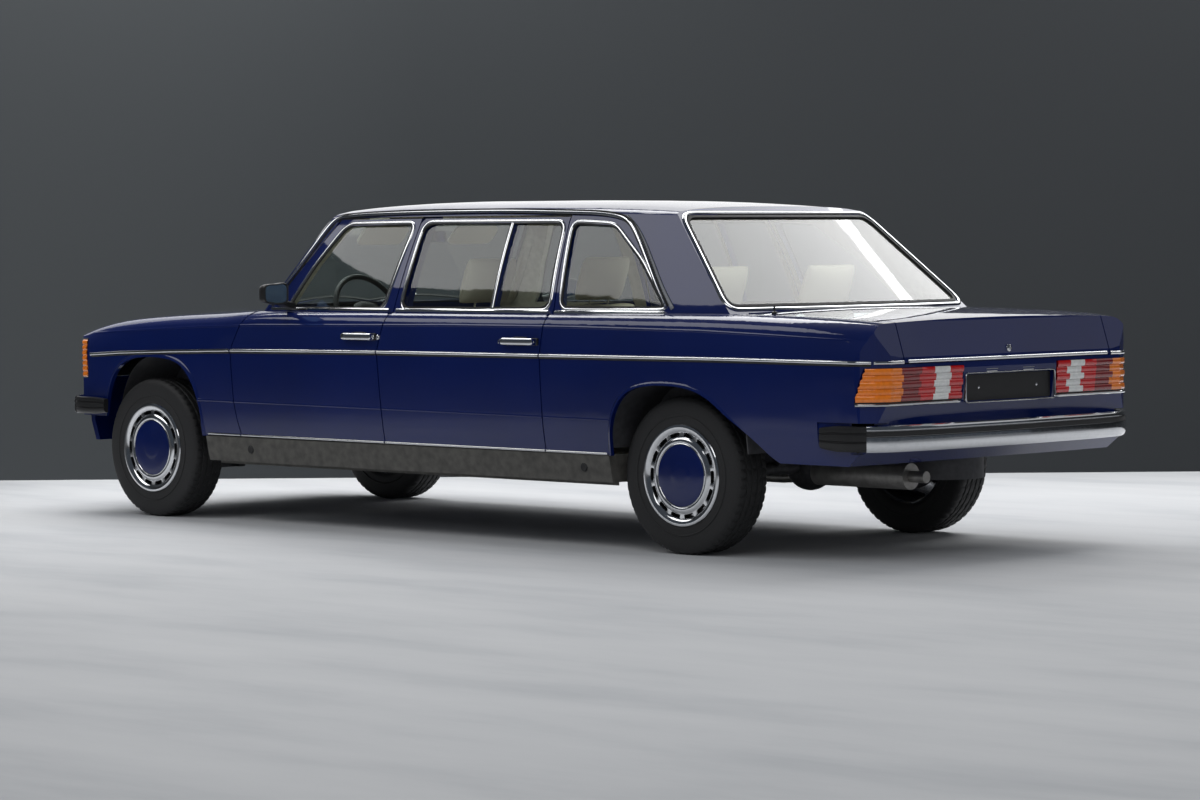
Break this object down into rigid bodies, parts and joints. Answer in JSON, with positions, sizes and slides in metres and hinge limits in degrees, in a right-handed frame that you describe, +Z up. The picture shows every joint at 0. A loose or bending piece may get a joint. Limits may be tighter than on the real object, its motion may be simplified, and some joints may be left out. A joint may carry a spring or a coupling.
{
  "type": "long-wheelbase sedan",
  "caption": "Long four-door sedan with navy unit body, hinged doors, bonnet and boot lid, chrome bumpers and trims, furnished cabin and road wheels that roll and steer.",
  "frame": {"origin": "on the ground under the middle of the whole car", "axes": "+X to the front of the car along its length, +Y to its left, +Z up"},
  "size_m": [5.355, 2.026, 1.4803],
  "materials": {
    "body_paint": "glossy deep navy blue",
    "window_glass": "lightly tinted",
    "black_trim": "satin black",
    "tyre": "ribbed sidewall",
    "wheel_metal": "polished",
    "bright_trim": "polished",
    "lamp_clear": "ribbed lens",
    "lamp_red": "ribbed lens",
    "seat_cloth": "cream pile cloth",
    "cabin_black": "grained",
    "cast_metal": "dull",
    "exhaust_steel": "heat dulled",
    "inner_metal": "satin sealed"
  },
  "bodies": {
    "body": {"boot_floor": "inner_metal", "cabin_floor": "inner_metal", "dashboard": "cabin_black", "door_pillars": "inner_metal", "engine": "cast_metal", "exhaust": "exhaust_steel", "fixed_glass": "window_glass", "front_bumper": "bright_trim", "front_lamps": "lamp_clear", "front_panel": "body_paint", "front_seats": "seat_cloth", "front_subframe": "cast_metal", "front_wings": "body_paint", "grille": "bright_trim", "inner_wings": "inner_metal", "quarter_panels": "body_paint", "rear_axle": "cast_metal", "rear_bench": "seat_cloth", "rear_bulkhead": "inner_metal", "rear_bumper": "bright_trim", "rear_deck": "body_paint", "rear_panel": "body_paint", "rear_wheelhouses": "inner_metal", "roof_panel": "body_paint", "roof_pillars": "body_paint", "scuttle": "inner_metal", "sills": "body_paint", "tail_lamps": "lamp_red"},
    "front_door_left": {"front_door_left": "body_paint", "front_door_glass_left": "window_glass", "door_mirror_left": "black_trim"},
    "rear_door_left": {"rear_door_left": "body_paint", "rear_door_glass_left": "window_glass"},
    "knuckle_left": {"knuckle_left": "cast_metal"},
    "wheel_front_left": {"tyre_front_left": "tyre", "rim_front_left": "wheel_metal"},
    "wheel_rear_left": {"tyre_rear_left": "tyre", "rim_rear_left": "wheel_metal"},
    "front_door_right": {"front_door_right": "body_paint", "front_door_glass_right": "window_glass", "door_mirror_right": "black_trim"},
    "rear_door_right": {"rear_door_right": "body_paint", "rear_door_glass_right": "window_glass"},
    "knuckle_right": {"knuckle_right": "cast_metal"},
    "wheel_front_right": {"tyre_front_right": "tyre", "rim_front_right": "wheel_metal"},
    "wheel_rear_right": {"tyre_rear_right": "tyre", "rim_rear_right": "wheel_metal"},
    "bonnet": {"bonnet": "body_paint"},
    "boot_lid": {"boot_lid": "body_paint"},
    "steering_wheel": {"steering_wheel": "cabin_black"}
  },
  "joints": [
    {"name": "steer_left", "type": "hinge", "parent": "body", "child": "knuckle_left", "pos_m": [1.8925, 0.672, 0.328], "axis": [0, 0, 1], "range_deg": [-35, 35]},
    {"name": "steer_right", "type": "hinge", "parent": "body", "child": "knuckle_right", "pos_m": [1.8925, -0.672, 0.328], "axis": [0, 0, 1], "range_deg": [-35, 35]},
    {"name": "steering_wheel_turn", "type": "hinge", "parent": "body", "child": "steering_wheel", "pos_m": [0.86, 0.37, 0.965], "axis": [-0.9063, 0, 0.4226], "range_deg": [-490, 490]},
    {"name": "wheel_front_left_spin", "type": "hinge", "parent": "knuckle_left", "child": "wheel_front_left", "pos_m": [1.8925, 0.744, 0.328], "axis": [0, 1, 0], "continuous": true},
    {"name": "wheel_front_right_spin", "type": "hinge", "parent": "knuckle_right", "child": "wheel_front_right", "pos_m": [1.8925, -0.744, 0.328], "axis": [0, 1, 0], "continuous": true},
    {"name": "wheel_rear_left_spin", "type": "hinge", "parent": "body", "child": "wheel_rear_left", "pos_m": [-1.5325, 0.723, 0.328], "axis": [0, 1, 0], "continuous": true},
    {"name": "wheel_rear_right_spin", "type": "hinge", "parent": "body", "child": "wheel_rear_right", "pos_m": [-1.5325, -0.723, 0.328], "axis": [0, 1, 0], "continuous": true},
    {"name": "front_door_left_hinge", "type": "hinge", "parent": "body", "child": "front_door_left", "pos_m": [1.21, 0.877, 0.735], "axis": [0, 0, -1], "range_deg": [0, 68]},
    {"name": "front_door_right_hinge", "type": "hinge", "parent": "body", "child": "front_door_right", "pos_m": [1.21, -0.877, 0.735], "axis": [0, 0, 1], "range_deg": [0, 68]},
    {"name": "rear_door_left_hinge", "type": "hinge", "parent": "body", "child": "rear_door_left", "pos_m": [0.214, 0.877, 0.735], "axis": [0, 0, -1], "range_deg": [0, 68]},
    {"name": "rear_door_right_hinge", "type": "hinge", "parent": "body", "child": "rear_door_right", "pos_m": [0.214, -0.877, 0.735], "axis": [0, 0, 1], "range_deg": [0, 68]},
    {"name": "bonnet_hinge", "type": "hinge", "parent": "body", "child": "bonnet", "pos_m": [1.273, 0, 0.988], "axis": [0, -1, 0], "range_deg": [0, 48]},
    {"name": "boot_lid_hinge", "type": "hinge", "parent": "body", "child": "boot_lid", "pos_m": [-1.897, 0, 1.003], "axis": [0, 1, 0], "range_deg": [0, 75]}
  ],
  "couplings": [
    {"joint": "steer_right", "follows": "steer_left", "ratio": 1},
    {"joint": "steering_wheel_turn", "follows": "steer_left", "ratio": 14}
  ]
}
